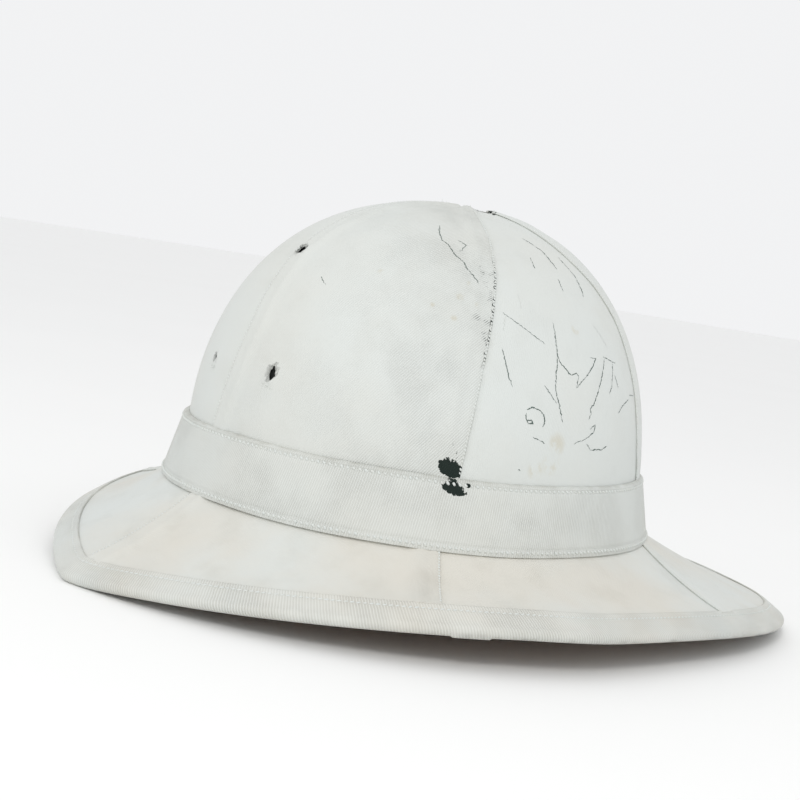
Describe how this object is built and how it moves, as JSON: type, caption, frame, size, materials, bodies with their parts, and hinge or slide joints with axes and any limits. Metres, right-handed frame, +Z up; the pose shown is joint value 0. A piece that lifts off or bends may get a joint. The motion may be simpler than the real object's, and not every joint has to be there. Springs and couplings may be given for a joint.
{
  "type": "pith helmet",
  "caption": "Old pith helmet: cork shell covered in white-painted cloth, six lapped crown seams, stitched band and a taped sloping brim",
  "frame": {"origin": "on the surface the helmet stands on, under the middle of its box", "axes": "+Z up, front peak towards -Y, the wearer's left towards +X"},
  "size_m": [0.2876, 0.3486, 0.1681],
  "materials": {
    "cork": "plain pressed cork, dull",
    "crown_cloth": "twill cloth under satin white paint, scratched through to near-black green",
    "brim_cloth": "twill cloth under satin white paint, greyer and faintly stained",
    "band_cloth": "folded and stitched twill under satin white paint",
    "binding_tape": "ribbed twill tape under satin white paint, scuffed grey along its lower edge"
  },
  "bodies": {
    "root": {"crown_shell": "cork", "brim_shell": "cork", "crown_panel_1": "crown_cloth", "crown_panel_2": "crown_cloth", "crown_panel_3": "crown_cloth", "crown_panel_4": "crown_cloth", "crown_panel_5": "crown_cloth", "crown_panel_6": "crown_cloth", "brim_panel_1": "brim_cloth", "brim_panel_2": "brim_cloth", "brim_panel_3": "brim_cloth", "brim_panel_4": "brim_cloth", "brim_panel_5": "brim_cloth", "brim_panel_6": "brim_cloth", "hat_band": "band_cloth", "edge_binding": "binding_tape"}
  },
  "joints": []
}
